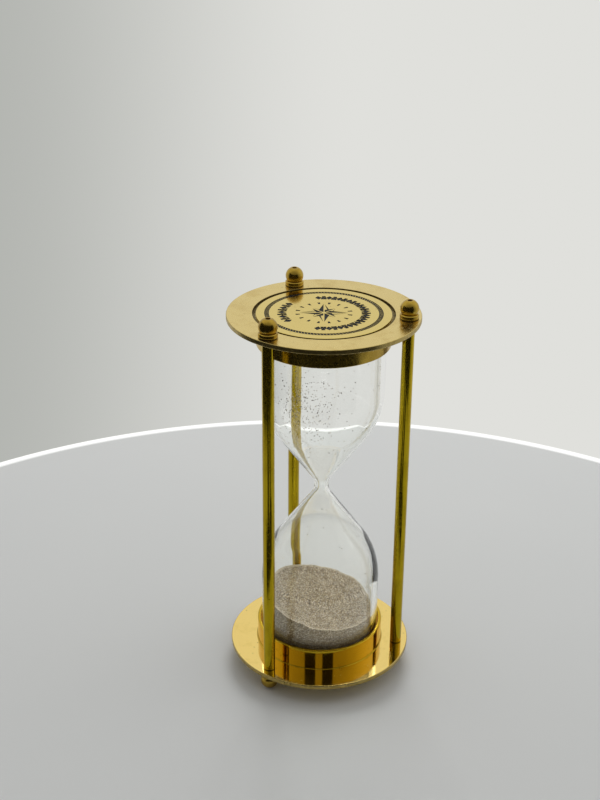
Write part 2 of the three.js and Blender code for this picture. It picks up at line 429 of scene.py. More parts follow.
class NodeSheet:
    """The nodes of one material or world, with the patterns that the finishes share.

    Attributes:
        tree: The node tree that is filled.
    """

    def __init__(self, owner: bpy.types.Material | bpy.types.World) -> None:
        """Starts an empty sheet in a material or a world."""
        owner.use_nodes = True
        self.tree = owner.node_tree
        self.tree.nodes.clear()

    def node(
        self, kind: str, settings: dict[str, object], feeds: dict[str | int, Feed]
    ) -> bpy.types.Node:
        """Adds one node.

        Args:
            kind: The node's type.
            settings: The node's own settings, which are set first.
            feeds: The value or the link of each input, by its name or number.

        Returns:
            The node.
        """
        made = self.tree.nodes.new(kind)
        for key, value in settings.items():
            setattr(made, key, value)
        for key, feed in feeds.items():
            if isinstance(feed, Value):
                feed = feed.socket
            if isinstance(feed, Socket):
                self.tree.links.new(feed, made.inputs[key])
            else:
                made.inputs[key].default_value = feed
        return made

    def place(self) -> Socket:
        """Reads the place on the object, in metres."""
        return self.node("ShaderNodeTexCoord", {}, {}).outputs["Object"]

    def axes(self) -> tuple[Value, Value, Value]:
        """Reads the place on the object, as three numbers in millimetres."""
        node = self.node("ShaderNodeSeparateXYZ", {}, {0: self.place()})
        x, y, z = (Value(self, out) / MM for out in node.outputs)
        return x, y, z

    def radius(self) -> Value:
        """Reads the distance from the object's upright axis, in millimetres."""
        x, y, _ = self.axes()
        return (x * x + y * y) ** 0.5

    def stretched(self, scale: Sequence[float], turn: float = 0) -> Socket:
        """Reads the place on the object after a turn and a stretch.

        Args:
            scale: How much each axis grows, per millimetre.
            turn: How far the pattern turns about the upright axis first, in degrees.

        Returns:
            The vector.
        """
        turned = self.node(
            "ShaderNodeVectorRotate",
            {"rotation_type": "Z_AXIS"},
            {"Vector": self.place(), "Angle": math.radians(turn)},
        )
        node = self.node(
            "ShaderNodeVectorMath",
            {"operation": "MULTIPLY"},
            {0: turned.outputs[0], 1: [s / MM for s in scale]},
        )
        return node.outputs[0]

    def vector(self, *parts: Feed) -> Socket:
        """Makes a vector of three numbers."""
        return self.node("ShaderNodeCombineXYZ", {}, dict(enumerate(parts))).outputs[0]

    def noise(self, where: Socket, detail: float = 2, rough: float = 0.5) -> Value:
        """Adds cloudy noise of about one cloud a unit.

        Args:
            where: The vector that it is read at.
            detail: How many finer layers it has.
            rough: How strong the finer layers are.

        Returns:
            The noise, about 0.5 on average.
        """
        node = self.node(
            "ShaderNodeTexNoise",
            {},
            {"Vector": where, "Scale": 1.0, "Detail": detail, "Roughness": rough},
        )
        return Value(self, node.outputs["Fac"])

    def cells(self, where: Socket) -> tuple[Value, Value]:
        """Adds cells of about one a unit.

        Args:
            where: The vector that they are read at.

        Returns:
            The distance from each cell's middle, and a number from 0 to 1 for each cell.
        """
        node = self.node("ShaderNodeTexVoronoi", {}, {"Vector": where, "Scale": 1.0})
        tint = self.node("ShaderNodeSeparateColor", {}, {0: node.outputs["Color"]})
        return Value(self, node.outputs["Distance"]), Value(self, tint.outputs[0])

    def mix(self, amount: Feed, low: Feed, high: Feed) -> Socket:
        """Mixes two colours.

        Args:
            amount: How much of the second colour there is.
            low: The first colour.
            high: The second colour.

        Returns:
            The mixed colour.
        """
        ends = [c if isinstance(c, Socket) else (*c, 1) for c in (low, high)]
        node = self.node(
            "ShaderNodeMix",
            {"data_type": "RGBA"},
            {0: amount, 6: ends[0], 7: ends[1]},
        )
        return node.outputs[2]

    def scratches(self, turn: float, fine: float = 1) -> Value:
        """Draws long thin scratches in one direction.

        Args:
            turn: Their direction, in degrees.
            fine: How many times finer they are than 0.5 mm apart.

        Returns:
            1 in a scratch and 0 beside it.
        """
        lines = self.noise(self.stretched([2 * fine, 0.05, 0.6], turn), detail=1)
        broken = self.noise(self.stretched([0.12, 0.12, 0.12], turn + 40), detail=2)
        return abs(lines - 0.5).band(0.0, 0.012, 1, 0) * broken.band(0.5, 0.62)

    def bumped(self, height: Value, depth: float) -> Socket:
        """Turns heights from 0 to 1 into a normal, with the whole depth in millimetres."""
        node = self.node(
            "ShaderNodeBump", {}, {"Strength": 1.0, "Distance": depth * MM, "Height": height}
        )
        return node.outputs[0]

    def principled(self, feeds: dict[str, Feed]) -> bpy.types.Node:
        """Adds the main shader and links it to the output.

        Args:
            feeds: The values and links of its sockets.

        Returns:
            The shader.
        """
        shader = self.node("ShaderNodeBsdfPrincipled", {}, feeds)
        self.node("ShaderNodeOutputMaterial", {}, {"Surface": shader.outputs[0]})
        return shader


    def see_through(self, amount: Feed, shader: bpy.types.Node, tint: Sequence[float]) -> None:
        """Mixes a shader with a see-through one and links the mix to the output.

        Args:
            amount: How much of the see-through one there is.
            shader: The shader.
            tint: The colour that is let through, with its alpha.
        """
        clear = self.node("ShaderNodeBsdfTransparent", {}, {0: tint})
        both = self.node(
            "ShaderNodeMixShader", {}, {0: amount, 1: shader.outputs[0], 2: clear.outputs[0]}
        )
        output = next(n for n in self.tree.nodes if n.type == "OUTPUT_MATERIAL")
        self.tree.links.new(both.outputs[0], output.inputs["Surface"])


class Marks(Enum):
    """Which way the fine tool marks run."""

    RINGS = "rings about the axis on a flat face"
    AROUND = "round an upright wall"
    ALONG = "up and down a pillar"


@dataclass(frozen=True)
class Brass:
    """Brass with tool marks, patches of tarnish, scratches and specks.

    Attributes:
        name: The material's name.
        metal: The colour of clean metal.
        tarnish: The colour of aged metal.
        marks: Which way the tool marks run.
        roughness: The roughness of clean metal.
        uneven: How much rougher the patches are.
        aged: How much of the metal is tarnished, from 0 to 1.
        mark_depth: The depth of the tool marks, in millimetres.
        specks: How many of the dark specks show, from 0 to 1.
        shade_and_grime: The inner and outer radius and the strength of each ring of painted shade
            that is partly old polish and dirt.
        contact_shadows: The heights of painted contact shadows, dark rings round the metal where it
            meets a plate.
    """

    name: str
    metal: Colour
    tarnish: Colour
    marks: Marks
    roughness: float
    uneven: float
    aged: float
    mark_depth: float
    specks: float = 0.25
    shade_and_grime: tuple[tuple[float, float, float], ...] = ()
    contact_shadows: tuple[float, ...] = ()

    def tool_marks(self, sheet: NodeSheet) -> Value:
        """Draws the tool marks, from 0 to 1."""
        if self.marks is Marks.ALONG:
            return sheet.noise(sheet.stretched([5, 5, 0.05]), detail=3, rough=0.6)
        if self.marks is Marks.AROUND:
            return sheet.noise(sheet.stretched([0.06, 0.06, 9]), detail=3, rough=0.6)
        x, y, _ = sheet.axes()
        return sheet.noise(
            sheet.vector(sheet.radius() * 6, x * 0.06, y * 0.06), detail=3, rough=0.65
        )

    def build(self) -> bpy.types.Material:
        """Makes the material.

        Returns:
            The material.
        """
        made = bpy.data.materials.new(self.name)
        sheet = NodeSheet(made)
        marks = self.tool_marks(sheet)
        patches = sheet.noise(sheet.stretched([0.14, 0.14, 0.09]), detail=4, rough=0.62)
        smears = sheet.noise(sheet.stretched([0.9, 0.5, 0.5], 25), detail=3, rough=0.6)
        scratch = sheet.scratches(17).larger(sheet.scratches(-52, 1.4))
        spot, lot = sheet.cells(sheet.stretched([0.45, 0.45, 0.45]))
        specks = spot.band(0.05, 0.16, 1, 0) * lot.band(1 - self.specks, 1 - self.specks + 0.01)
        old = patches.band(0.62 - 0.3 * self.aged, 0.8 - 0.25 * self.aged)
        old = old * 0.6 * self.aged + marks.band(0.45, 0.8) * 0.22 * self.aged
        old = old + smears.band(0.55, 0.75) * 0.2 * self.aged
        colour = sheet.mix(old, self.metal, self.tarnish)
        colour = sheet.mix(specks * 0.55, colour, [c * 0.3 for c in self.tarnish])
        colour = sheet.mix(scratch * 0.3, colour, [min(1, c * 1.12) for c in self.metal])
        rough = patches.band(0.35, 0.7) * self.uneven + marks.band(0.3, 0.7) * self.uneven * 0.5
        rough = rough + smears.band(0.5, 0.7) * self.uneven * 0.6 + scratch * 0.12 + specks * 0.2
        # Painted contact shadow: a dark ring where a pillar or a nut meets a plate, where shade
        # falls in the gap.
        for level in self.contact_shadows:
            contact_shadow = abs(sheet.axes()[2] - level).band(0.1, 0.34, 1, 0)
            colour = sheet.mix(contact_shadow * 0.85, colour, (0.03, 0.018, 0.008))
        # Painted shade, partly dirt: a dark ring in the corner of a plate's recess round the
        # medallion, and a darker painted reflection along a plate's edge.
        for low, high, strength in self.shade_and_grime:
            radius = sheet.radius()
            soil_and_shade = radius.band(low - 0.1, low + 0.1) * radius.band(high - 0.05, high + 0.1, 1, 0)
            soil_and_shade = soil_and_shade * smears.band(0.3, 0.6, 0.8 * strength, strength)
            colour = sheet.mix(soil_and_shade, colour, (0.035, 0.022, 0.006))
            rough = rough + soil_and_shade * 0.3
        height = marks + smears * 0.6 - scratch * 0.8 - specks * 0.5
        sheet.principled(
            {
                "Base Color": colour,
                "Metallic": 1.0,
                "Roughness": rough + self.roughness,
                "Normal": sheet.bumped(height, self.mark_depth),
            }
        )
        return made


@dataclass(frozen=True)
class Enamel:
    """Hard black filling, with dust and a slightly uneven surface.

    Attributes:
        name: The material's name.
        colour: Its colour.
    """

    name: str = "black_enamel"
    colour: Colour = (0.005, 0.0055, 0.007)

    def build(self) -> bpy.types.Material:
        """Makes the material."""
        made = bpy.data.materials.new(self.name)
        sheet = NodeSheet(made)
        uneven = sheet.noise(sheet.stretched([2, 2, 2]), detail=4, rough=0.6)
        dust = sheet.noise(sheet.stretched([7, 7, 7]), detail=1).band(0.64, 0.74)
        sheet.principled(
            {
                "Base Color": sheet.mix(dust * 0.5, self.colour, (0.10, 0.09, 0.06)),
                "Roughness": uneven.band(0.3, 0.7, 0.4, 0.6),
                "Specular IOR Level": 0.15,
                "Normal": sheet.bumped(uneven, 0.02),
            }
        )
        return made


@dataclass(frozen=True)
class BlownGlass:
    """Clear blown glass, with faint ripples and finger marks.

    Attributes:
        name: The material's name.
        tint: The glass's own faint colour.
    """

    name: str = "clear_blown_glass"
    tint: Colour = (0.985, 0.99, 0.985)

    def build(self) -> bpy.types.Material:
        """Makes the material, which lets lamps shine through it."""
        made = bpy.data.materials.new(self.name)
        sheet = NodeSheet(made)
        ripples = sheet.noise(sheet.stretched([0.10, 0.10, 0.16]), detail=2)
        smudges = sheet.noise(sheet.stretched([0.25, 0.25, 0.2]), detail=4).band(0.56, 0.72)
        ridges = sheet.noise(sheet.stretched([6, 6, 2.5]), detail=2)
        glass = sheet.principled(
            {
                "Base Color": sheet.mix(smudges * 0.3, self.tint, (0.95, 0.955, 0.95)),
                "Roughness": smudges * ridges.band(0.4, 0.65) * 0.05,
                "IOR": 1.5,
                "Transmission Weight": 1.0,
                "Normal": sheet.bumped(ripples + ridges * smudges * 0.02, 0.012),
            }
        )
        rays = sheet.node("ShaderNodeLightPath", {}, {})
        sheet.see_through(rays.outputs["Is Shadow Ray"], glass, (0.93, 0.935, 0.93, 1))
        return made


@dataclass(frozen=True)
class SandFinish:
    """Fine speckled sand.

    Attributes:
        name: The material's name.
        body: The colour of most grains.
        pale: The colour of the palest grains.
        dark: The colour of the darkest grains.
        grain: The size of one grain, in millimetres.
        rim: The radii between which a painted highlight makes the top grow pale towards the glass.
        side: The heights between which the painted shade on the side fades out upwards.
        foot_shade: The colour of the painted shade on the side's foot, down in the collar.
    """

    name: str = "speckled_sand"
    body: Colour = (0.36, 0.27, 0.148)
    pale: Colour = (0.76, 0.67, 0.49)
    dark: Colour = (0.105, 0.07, 0.038)
    grain: float = 0.32
    rim: Point = (18.2, 19.0)
    side: Point = (15.5, 20.5)
    foot_shade: Colour = (0.075, 0.047, 0.02)

    def build(self) -> bpy.types.Material:
        """Makes the material."""
        made = bpy.data.materials.new(self.name)
        sheet = NodeSheet(made)
        fine = [1 / self.grain] * 3
        far, lot = sheet.cells(sheet.stretched(fine))
        clumps = sheet.noise(sheet.stretched([0.5, 0.5, 0.5]), detail=4, rough=0.7)
        colour = sheet.mix(lot.band(0.5, 0.95), self.body, self.pale)
        colour = sheet.mix(lot.band(0.02, 0.22, 0.85, 0), colour, self.dark)
        colour = sheet.mix(clumps.band(0.42, 0.7, 0, 0.2), colour, self.dark)
        colour = sheet.mix(far.band(0.3, 0.75, 0, 0.2), colour, self.dark)
        facing = sheet.node("ShaderNodeNewGeometry", {}, {}).outputs["Normal"]
        upward = Value(sheet, sheet.node("ShaderNodeSeparateXYZ", {}, {0: facing}).outputs[2])
        # Painted highlight: the top grows pale towards the glass, where its grains catch the light.
        rim = (sheet.radius() + clumps).band(*self.rim, 0, 0.6) * upward.band(0.3, 0.6)
        colour = sheet.mix(rim, colour, self.pale)
        # Painted shade: the side darkens towards its foot, down in the collar.
        foot = sheet.axes()[2].band(*self.side, 0.85, 0) * upward.band(0.3, 0.6, 0.8, 0)
        colour = sheet.mix(foot, colour, self.foot_shade)
        sheet.principled(
            {
                "Base Color": colour,
                "Roughness": lot.band(0.0, 1.0, 0.55, 0.9),
                "Normal": sheet.bumped(1 - far, 0.16),
            }
        )
        return made


@dataclass(frozen=True)
class GrainFinish:
    """Single grains of sand, each with the tone that its mesh gives it.

    Attributes:
        name: The material's name.
        pale: The colour at tone 1.
        dark: The colour at tone 0.
    """

    name: str = "single_grains"
    pale: Colour = (0.80, 0.72, 0.60)
    dark: Colour = (0.10, 0.07, 0.045)

    def build(self) -> bpy.types.Material:
        """Makes the material."""
        made = bpy.data.materials.new(self.name)
        sheet = NodeSheet(made)
        tone = sheet.node("ShaderNodeAttribute", {"attribute_name": "tone"}, {})
        veins = sheet.noise(sheet.stretched([9, 9, 9]), detail=2)
        amount = Value(sheet, tone.outputs["Fac"]) * veins.band(0.3, 0.7, 0.75, 1.1)
        sheet.principled(
            {
                "Base Color": sheet.mix(amount, self.dark, self.pale),
                "Roughness": veins.band(0.3, 0.7, 0.45, 0.8),
                "Normal": sheet.bumped(veins, 0.02),
            }
        )
        return made


@dataclass(frozen=True)
class CorkFinish:
    """Pressed cork granules.

    Attributes:
        name: The material's name.
        body: The colour of most granules.
        dark: The colour between them and of the bark.
    """

    name: str = "pressed_cork"
    body: Colour = (0.46, 0.29, 0.15)
    dark: Colour = (0.14, 0.07, 0.03)

    def build(self) -> bpy.types.Material:
        """Makes the material."""
        made = bpy.data.materials.new(self.name)
        sheet = NodeSheet(made)
        far, lot = sheet.cells(sheet.stretched([1.1, 1.1, 1.1]))
        pores = sheet.noise(sheet.stretched([4, 4, 4]), detail=3).band(0.56, 0.66)
        colour = sheet.mix(lot, self.body, [c * 1.35 for c in self.body])
        colour = sheet.mix(far.band(0.35, 0.8, 0, 0.8), colour, self.dark)
        colour = sheet.mix(pores * 0.6, colour, self.dark)
        sheet.principled(
            {
                "Base Color": colour,
                "Roughness": lot.band(0, 1, 0.75, 0.95),
                "Normal": sheet.bumped((1 - far) - pores, 0.12),
            }
        )
        return made


class Finishes:
    """Every material of the object, made once.

    Attributes:
        contact_shadow: How far the painted contact shadows on the pillars and nuts lie from the
            faces of the plates, in millimetres.
        made: Each material by the name that the pieces ask for it by.
    """

    contact_shadow = 0.06

    def __init__(self) -> None:
        """Makes the materials."""
        inner = middle("bottom_plate", "high").z, middle("top_plate").z
        outer = middle("bottom_plate").z, middle("top_plate", "high").z
        self.made = {
            "satin_brass": Brass(
                "satin_brass", (0.78, 0.61, 0.215), (0.53, 0.365, 0.09), Marks.RINGS,
                roughness=0.16, uneven=0.12, aged=0.5, mark_depth=0.003,
                # Rings of painted shade: the recess's corner, partly dirt, and the plate's edge, a
                # darker painted reflection.
                shade_and_grime=((22.35, 23.45, 0.85), (31.8, 33, 0.45)),
            ),
            "polished_brass": Brass(
                "polished_brass", (0.92, 0.69, 0.225), (0.62, 0.41, 0.05), Marks.RINGS,
                roughness=0.045, uneven=0.05, aged=0.3, mark_depth=0.0012, specks=0.5,
                # Rings of painted shade: the recess's corner, partly dirt, and the plate's edge, a
                # darker painted reflection.
                shade_and_grime=((22.3, 22.75, 0.7), (31.8, 33, 0.6)),
            ),
            "polished_collar": Brass(
                "polished_collar", (0.59, 0.385, 0.022), (0.42, 0.25, 0.012), Marks.AROUND,
                roughness=0.035, uneven=0.04, aged=0.3, mark_depth=0.001, specks=0.2,
            ),
            "brushed_brass": Brass(
                "brushed_brass", (0.50, 0.35, 0.058), (0.26, 0.155, 0.02), Marks.AROUND,
                roughness=0.15, uneven=0.12, aged=0.7, mark_depth=0.004,
            ),
            "engraved_brass": Brass(
                "engraved_brass", (0.79, 0.615, 0.17), (0.60, 0.42, 0.08), Marks.RINGS,
                roughness=0.075, uneven=0.06, aged=0.25, mark_depth=0.001,
            ),
            "pillar_brass": Brass(
                "pillar_brass", (0.50, 0.365, 0.012), (0.29, 0.195, 0.005), Marks.ALONG,
                roughness=0.12, uneven=0.10, aged=0.6, mark_depth=0.0015,
                # Painted contact shadows where the pillars meet the plates.
                contact_shadows=(inner[0] / MM + self.contact_shadow, inner[1] / MM - self.contact_shadow),
            ),
            "nut_brass": Brass(
                "nut_brass", (0.52, 0.355, 0.055), (0.25, 0.14, 0.018), Marks.AROUND,
                roughness=0.10, uneven=0.12, aged=0.7, mark_depth=0.004, specks=0.4,
                # Painted contact shadows where the nuts meet the plates.
                contact_shadows=(outer[0] / MM - self.contact_shadow, outer[1] / MM + self.contact_shadow),
            ),
            "black_enamel": Enamel(),
            "clear_glass": BlownGlass(),
            "sand": SandFinish(),
            "single_grains": GrainFinish(),
            "cork": CorkFinish(),
        }
        self.made = {slot: finish.build() for slot, finish in self.made.items()}

    def __getitem__(self, slot: str) -> bpy.types.Material:
        """Finds the material of a slot."""
        return self.made[slot]

    def dress(self, piece: bpy.types.Object, finish: str, slot: str, *nodes: str) -> None:
        """Gives a piece its finish and its place in the frame, and reports it.

        Args:
            piece: The finished piece.
            finish: The name of its material here.
            slot: The record's slot for its finish; not used.
            nodes: The CAD nodes that it stands for.
        """
        if not piece.data.materials:
            piece.data.materials.append(self[finish])
        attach(piece, "root")
        if nodes:
            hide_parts(*nodes)
        LOG.info("%s: %d faces, %s", piece.name, len(piece.data.polygons), finish)


# ---- The brass frame ----


@dataclass(frozen=True)
class End:
    """One end of the hourglass.

    Attributes:
        word: The word that its pieces' names start with.
        facing: 1 at the top, where outside is up, or -1 at the bottom.
        outside: The name of the outer level of a node there.
        inside: The name of the inner level of a node there.
    """

    word: str
    facing: float
    outside: str
    inside: str


TOP = End("top", 1, "high", "low")
BOTTOM = End("bottom", -1, "low", "high")
SIDES = ("back", "left", "right")


@dataclass(frozen=True)
class EndPlate:
    """A round end plate with a recess in its outer face and a hole for each stud.

    Attributes:
        end: Which end it is at.
        radius: Its radius.
        thickness: Its thickness.
        edge: How far its edges are rounded.
        recess: The radius of its recess.
        depth: The depth of its recess.
        lip: How far the recess's edge is rounded.
        hole: The radius of its stud holes.
        steps: How many steps go round it.
    """

    end: End
    radius: float = 32
    thickness: float = 1.6
    edge: float = 0.32
    recess: float = 23.4
    depth: float = 0.8
    lip: float = 0.14
    hole: float = 1.6
    steps: int = 192

    def build(self, finishes: Finishes) -> None:
        """Makes the plate and dresses it."""
        node = f"{self.end.word}_plate"
        top, floor = self.thickness, self.thickness - self.depth
        outline = (
            Outline()
            .to(0, 0)
            .arc((self.radius - self.edge, self.edge), self.edge, -90, 0, 6)
            .arc((self.radius - self.edge, top - self.edge), self.edge, 0, 90, 6)
            .arc((self.recess + self.lip, top - self.lip), self.lip, 90, 180, 4)
            .to(self.recess, floor)
            .to(0, floor)
        )
        inner = middle(node, self.end.inside)
        plate = outline.turned(f"{node}_turned", inner, self.end.facing, self.steps)
        finish = "satin_brass" if self.end is TOP else "polished_brass"
        plate.data.materials.append(finishes[finish])
        for side in SIDES:
            centre = middle(f"pillar_{side}")
            centre.z = min(inner.z, middle(node, self.end.outside).z) - MM
            drill = Outline().to(0, 0).to(self.hole, 0)
            drill = drill.to(self.hole, self.thickness + 2).to(0, self.thickness + 2)
            engrave(plate, drill.turned("drill", centre, 1, 24), finishes[finish])
        even_shading(plate)
        finishes.dress(plate, finish, finish, node)


@dataclass(frozen=True)
class Medallion:
    """A loose engraved disc: a roped border, a broken band of ornament and a compass star.

    Attributes:
        end: Which end it lies at.
        radius: Its radius.
        edge: How far its edges are rounded.
        cut: The depth of the engraving.
        above: How far the cutting shapes stand out of the face.
        rope: The inner and outer radius of the roped border.
        rope_drop: How far below the face the border's strands lie.
        strands: How many strands the border has.
        band: The inner and outer radius of the band of ornament.
        long_part: How many lozenges the band's long part has, and the angle they span.
        short_part: The same for its short part, which is opposite.
        lozenge: Half the width of a lozenge.
        wedges: Half the width of the wedges that point inwards, and of those that point out.
        clear: How far a wedge's tip and its base stay inside the band.
        star: The length of the star's long points.
        star_width: The width that the long points are drawn with.
        short_star: The length of its short points.
        short_width: The width that the short points are drawn with.
        line: Half the gap between the two halves of a point.
        ticks: How many small wedges stand round the star.
        tick_ring: The inner and outer radius of those wedges.
        tick_ends: Half their width at their inner and at their outer end.
        turn: The direction of the middle of the band's long part, in degrees.
        steps: How many steps go round it.
    """

    end: End
    radius: float = 22.3
    edge: float = 0.14
    cut: float = 0.09
    above: float = 0.5
    rope: Point = (18.0, 19.5)
    rope_drop: float = 0.01
    strands: int = 116
    band: Point = (12.2, 15.4)
    long_part: tuple[int, float] = (14, 196)
    short_part: tuple[int, float] = (5, 66)
    lozenge: float = 1.15
    wedges: Point = (0.62, 0.5)
    clear: Point = (0.3, 0.1)
    star: float = 8.0
    star_width: float = 2.5
    short_star: float = 5.2
    short_width: float = 2.3
    line: float = 0.16
    ticks: int = 16
    tick_ring: Point = (7.9, 9.4)
    tick_ends: Point = (0.28, 0.5)
    turn: float = -21.6
    steps: int = 192

    def ring(self, name: str, low: float, high: float, level: Vector) -> bpy.types.Object:
        """Makes a flat ring that cuts the engraving's depth below the face.

        Args:
            name: Its name.
            low: Its inner radius.
            high: Its outer radius.
            level: The middle of the disc's face.

        Returns:
            The ring.
        """
        depth, above = -self.cut, self.above
        outline = Outline().to(low, depth).to(high, depth).to(high, above).to(low, above)
        outline.to(low, depth)
        return outline.turned(name, level, self.end.facing, self.steps)

    def shape(self, corners: Sequence[Point], level: Vector, turn: float) -> bpy.types.Object:
        """Makes one engraved figure.

        Args:
            corners: Its corners, with the disc's middle at 0, 0.
            level: The middle of the disc's face.
            turn: How far it is turned about the disc's middle, in degrees.

        Returns:
            The figure, as a prism that cuts the engraving's depth below the face.
        """
        spin = Matrix.Rotation(math.radians(turn), 2)
        placed = [tuple(spin @ Vector(corner)) for corner in corners]
        floor = level.z - self.end.facing * self.cut * MM
        top = level.z + self.end.facing * self.above * MM
        return prism("figure", placed, min(floor, top), max(floor, top))

    def ornament(self, level: Vector) -> list[bpy.types.Object]:
        """Makes the band: lozenges with wedges between them, in a long and a short part."""
        low, high = self.band
        centre, wide = (low + high) / 2, self.lozenge
        (inwards, outwards), (tip, base) = self.wedges, self.clear
        lozenge = [(low, 0), (centre, wide), (high, 0), (centre, -wide)]
        inward = [(low + tip, 0), (high - base, -inwards), (high - base, inwards)]
        outward = [(high - tip, 0), (low + base, outwards), (low + base, -outwards)]
        made = []
        for facing, (count, span) in ((0, self.long_part), (180, self.short_part)):
            start, pitch = self.turn + facing - span / 2, span / (count - 1)
            for figure, shift, number in (
                (lozenge, 0, count),
                (inward, 0.5, count - 1),
                (outward, 0.35, count - 1),
                (outward, 0.65, count - 1),
            ):
                piece = self.shape(figure, level, start + shift * pitch)
                repeat(piece, number, level, pitch * (number - 1))
                made.append(piece)
        return made

    def compass(self, level: Vector) -> list[bpy.types.Object]:
        """Makes the dark halves of the star's eight points, and a ring of small wedges."""
        made = []
        for reach, width, start in (
            (self.star, self.star_width, 0),
            (self.short_star, self.short_width, 45),
        ):
            dark = [(0.5, self.line), (width * 0.82, width * 0.7), (reach, self.line)]
            near, far = (width * 0.9, -width * 0.72), (width * 1.15, -width * 0.42)
            pale = [(reach, -self.line), near, far]
            for figure in (dark, pale):
                piece = self.shape(figure, level, self.turn + start)
                repeat_round(piece, 4, level)
                made.append(piece)
        (low, high), (narrow, wide) = self.tick_ring, self.tick_ends
        wedge = [(low, -narrow), (high, -wide), (high, wide), (low, narrow)]
        piece = self.shape(wedge, level, self.turn + 180 / self.ticks)
        repeat_round(piece, self.ticks, level)
        made.append(piece)
        return made

    def build(self, finishes: Finishes) -> None:
        """Makes the disc and its raised rope, and dresses them."""
        node = f"{self.end.word}_medallion"
        inner, level = middle(node, self.end.inside), middle(node, self.end.outside)
        top = abs(level.z - inner.z) / MM
        disc = (
            Outline()
            .to(0, 0)
            .arc((self.radius - self.edge, self.edge), self.edge, -90, 0, 4)
            .arc((self.radius - self.edge, top - self.edge), self.edge, 0, 90, 4)
            .to(0, top)
            .turned(f"{node}_disc", inner, self.end.facing, self.steps)
        )
        disc.data.materials.append(finishes["engraved_brass"])
        border = self.ring("border", *self.rope, level)
        for cutter in (border, *self.ornament(level), *self.compass(level)):
            engrave(disc, cutter, finishes["black_enamel"])
        even_shading(disc)
        finishes.dress(disc, "engraved_brass", "engraved_brass", node)
        low, high = self.rope
        strand = [(low + 0.2, -0.36), (low + 0.2, -0.2), (high - 0.2, 0.36), (high - 0.2, 0.2)]
        rope = self.shape(strand, level, 0)
        rope.name = rope.data.name = f"{node}_rope"
        sink = -self.end.facing * (self.above + self.rope_drop) * MM
        turned_in_place(rope, Matrix.Translation((0, 0, sink)))
        repeat_round(rope, self.strands, level)
        finishes.dress(rope, "engraved_brass", "engraved_brass")


@dataclass(frozen=True)
class Collar:
    """A ring that holds one end of the glass, soldered to its plate.

    Attributes:
        end: Which end it is at.
        outer: Its outer radius.
        inner: Its inner radius.
        lip: How far its free rim is rounded.
        solder: The size of the bead of solder at its foot.
        steps: How many steps go round it.
    """

    end: End
    outer: float = 22.4
    inner: float = 21.2
    lip: float = 0.3
    solder: float = 0.28
    steps: int = 192

    def build(self, finishes: Finishes) -> None:
        """Makes the collar and dresses it."""
        node = f"{self.end.word}_collar"
        height = (middle(node, "high").z - middle(node).z) / MM
        rim, bead = height - self.lip, self.solder
        outline = (
            Outline()
            .to(self.inner, 0)
            .to(self.outer + bead, 0)
            .arc((self.outer + bead, bead), bead, -90, -180, 5)
            .arc((self.outer - self.lip, rim), self.lip, 0, 90, 5)
            .arc((self.inner + self.lip, rim), self.lip, 90, 180, 5)
            .to(self.inner, 0)
        )
        foot = middle(node, self.end.outside)
        collar = outline.turned(f"{node}_ring", foot, -self.end.facing, self.steps)
        even_shading(collar)
        if self.end is TOP:
            finishes.dress(collar, "brushed_brass", "brushed_brass", node)
        else:
            finishes.dress(collar, "polished_collar", "polished_brass", node)


@dataclass(frozen=True)
class Pillars:
    """Three turned pillars with a stud at each end.

    Attributes:
        radius: A pillar's radius.
        length: Its length between the plates.
        edge: How far its shoulders are rounded.
        stud: The radius of its studs.
        tip: How far the studs' ends are rounded.
        steps: How many steps go round it.
    """

    radius: float = 2
    length: float = 123.75
    edge: float = 0.22
    stud: float = 1.5
    tip: float = 0.3
    steps: int = 64

    def build(self, finishes: Finishes) -> None:
        """Makes one pillar, copies it twice and dresses the three."""
        first = middle("pillar_back")
        reach = (middle("pillar_back", "high").z - first.z) / MM
        low = (reach - self.length) / 2
        high, edge = low + self.length, self.edge
        outline = (
            Outline()
            .to(0, 0)
            .arc((self.stud - self.tip, self.tip), self.tip, -90, 0, 3)
            .to(self.stud, low)
            .arc((self.radius - edge, low + edge), edge, -90, 0, 4)
            .arc((self.radius - edge, high - edge), edge, 0, 90, 4)
            .to(self.stud, high)
            .arc((self.stud - self.tip, reach - self.tip), self.tip, 0, 90, 3)
            .to(0, reach)
        )
        model = outline.turned("pillar_back_turned", first, 1, self.steps)
        even_shading(model)
        for side in SIDES:
            if side == "back":
                piece = model
            else:
                move = Matrix.Translation(middle(f"pillar_{side}") - first)
                piece = copied(model, f"pillar_{side}_turned", move)
            finishes.dress(piece, "pillar_brass", "pillar_brass", f"pillar_{side}")


